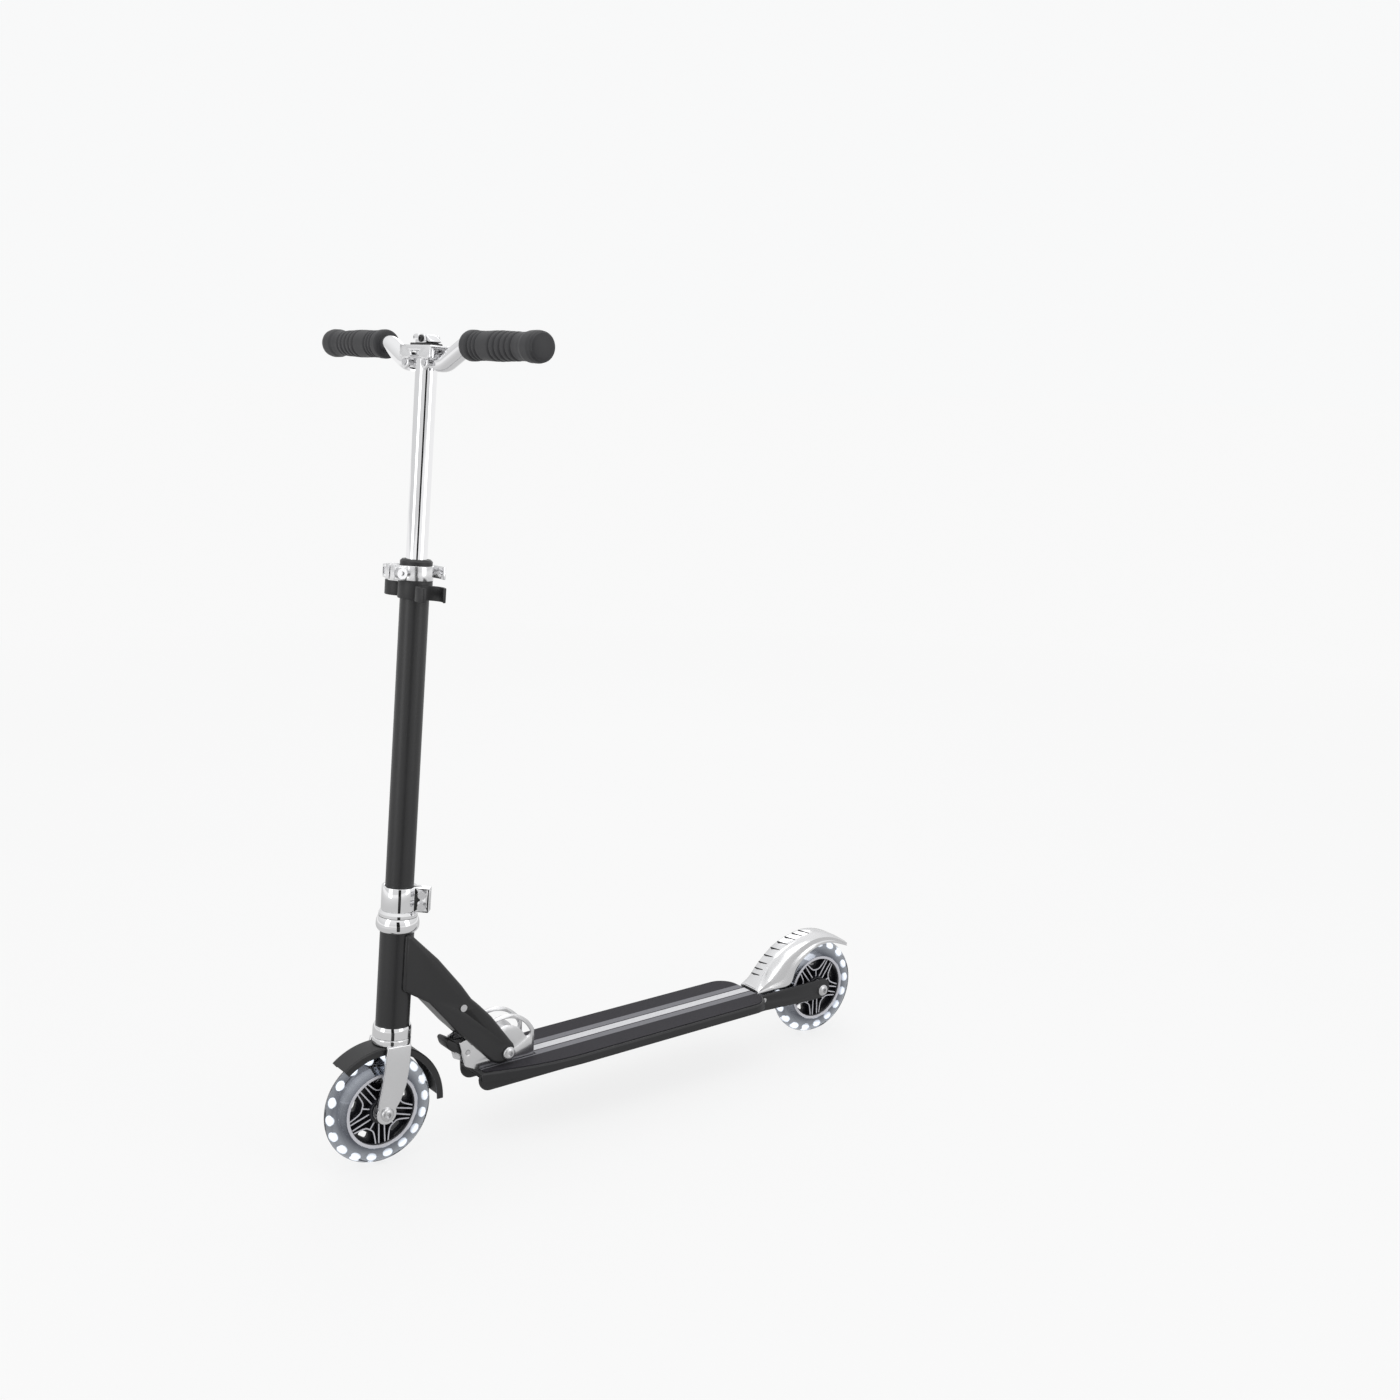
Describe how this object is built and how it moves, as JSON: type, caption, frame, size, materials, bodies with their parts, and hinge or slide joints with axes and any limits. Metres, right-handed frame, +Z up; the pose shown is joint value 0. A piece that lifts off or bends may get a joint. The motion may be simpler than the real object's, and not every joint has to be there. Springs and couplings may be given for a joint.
{
  "type": "kick scooter",
  "caption": "Folding child's kick scooter with a height-adjustable T-bar, folding handles, a sprung mudguard brake and light-up wheels.",
  "frame": {"origin": "on the ground, midway between the two axles, in the scooter's middle plane", "axes": "+X is the way it rolls, +Y the rider's left, +Z up"},
  "size_m": [0.745, 0.43, 0.8781],
  "materials": {
    "frame_paint": "satin black powder coat",
    "deck_paint": "satin black powder coat",
    "grit": "charcoal grit sheet with pale grey stripes",
    "silver": "silver satin",
    "plated": "polished plating",
    "zinc": "zinc-plated fasteners",
    "bearing_steel": "ground steel",
    "black_plastic": "moulded, fine satin",
    "grip_rubber": "soft ribbed",
    "tyre": "smoky clear polyurethane",
    "hub": "moulded with a pale rim",
    "lamp": "clear lamp caps",
    "spring": "oiled spring steel"
  },
  "bodies": {
    "deck": {"deck_beam": "deck_paint", "deck_plate": "deck_paint", "grip_tape": "grit", "fold_bracket": "silver", "bracket_bolts": "zinc", "pivot_bolt": "zinc", "pivot_nut": "zinc", "pivot_bush": "bearing_steel", "release_pin": "zinc", "release_spring": "spring", "rear_axle": "zinc", "rear_axle_nut": "zinc", "rear_axle_spacers": "zinc", "brake_pin": "zinc", "brake_springs": "spring"},
    "release": {"release_lever": "black_plastic"},
    "brake": {"brake_mudguard": "silver"},
    "rear_wheel": {"rear_tyre": "tyre", "rear_hub": "hub", "rear_led_ring": "lamp", "rear_bearings": "bearing_steel", "rear_bearing_spacer": "bearing_steel"},
    "stem": {"down_tube": "frame_paint", "head_tube": "frame_paint", "upper_cup": "plated", "lower_cup": "plated", "headset_bearings": "bearing_steel", "stop_pin": "zinc", "stem_rivet": "zinc"},
    "steering": {"fork": "silver", "steerer_tube": "bearing_steel", "front_axle": "zinc", "front_axle_nut": "zinc", "front_axle_spacers": "zinc", "front_fender": "black_plastic", "lock_ring": "plated", "lower_column": "frame_paint", "column_bush": "black_plastic", "collar_clamp": "plated", "collar_bolts": "zinc", "clip_sleeve": "black_plastic", "clamp_band": "silver", "clamp_skewer": "zinc", "top_ring": "black_plastic"},
    "front_wheel": {"front_tyre": "tyre", "front_hub": "hub", "front_led_ring": "lamp", "front_bearings": "bearing_steel", "front_bearing_spacer": "bearing_steel"},
    "clamp": {"clamp_lever": "silver"},
    "bar": {"t_bar_tube": "plated", "t_head": "silver", "handle_pins": "zinc", "lock_base": "black_plastic"},
    "lock": {"lock_lever": "plated"},
    "left_handle": {"left_handle_tube": "plated", "left_grip": "grip_rubber"},
    "right_handle": {"right_handle_tube": "plated", "right_grip": "grip_rubber"}
  },
  "joints": [
    {"name": "fold", "type": "hinge", "parent": "deck", "child": "stem", "pos_m": [0.16, 0, 0.0945], "axis": [0, -1, 0], "range_deg": [0, 90]},
    {"name": "steer", "type": "hinge", "parent": "stem", "child": "steering", "pos_m": [0.2974, 0, 0.0625], "axis": [-0.0722, 0, 0.9974], "range_deg": [-85, 85]},
    {"name": "front_spin", "type": "hinge", "parent": "steering", "child": "front_wheel", "pos_m": [0.31, 0, 0.0625], "axis": [0, 1, 0], "continuous": true},
    {"name": "rear_spin", "type": "hinge", "parent": "deck", "child": "rear_wheel", "pos_m": [-0.31, 0, 0.0625], "axis": [0, 1, 0], "continuous": true},
    {"name": "brake_press", "type": "hinge", "parent": "deck", "child": "brake", "pos_m": [-0.212, 0, 0.071], "axis": [0, -1, 0], "range_deg": [0, 3.6], "stiffness_Nm_per_rad": 10, "springref_deg": -8.59},
    {"name": "release_press", "type": "hinge", "parent": "deck", "child": "release", "pos_m": [0.207, 0, 0.104], "axis": [0, 1, 0], "range_deg": [0, 10], "stiffness_Nm_per_rad": 0.4, "springref_deg": -17.19},
    {"name": "bar_height", "type": "slide", "parent": "steering", "child": "bar", "axis": [-0.0722, 0, 0.9974], "range_m": [-0.185, 0]},
    {"name": "clamp_open", "type": "hinge", "parent": "steering", "child": "clamp", "pos_m": [0.27936, -0.0155, 0.6372], "axis": [-0.0722, 0, 0.9974], "range_deg": [0, 90]},
    {"name": "left_fold", "type": "hinge", "parent": "bar", "child": "left_handle", "pos_m": [0.24076, 0.02, 0.845], "axis": [-0.9974, 0, -0.0722], "range_deg": [0, 90]},
    {"name": "right_fold", "type": "hinge", "parent": "bar", "child": "right_handle", "pos_m": [0.24076, -0.02, 0.845], "axis": [0.9974, 0, 0.0722], "range_deg": [0, 90]},
    {"name": "lock_press", "type": "hinge", "parent": "bar", "child": "lock", "pos_m": [0.23906, 0.0035, 0.8685], "axis": [0.9974, 0, 0.0722], "range_deg": [0, 6], "stiffness_Nm_per_rad": 0.2, "springref_deg": -17.19}
  ]
}
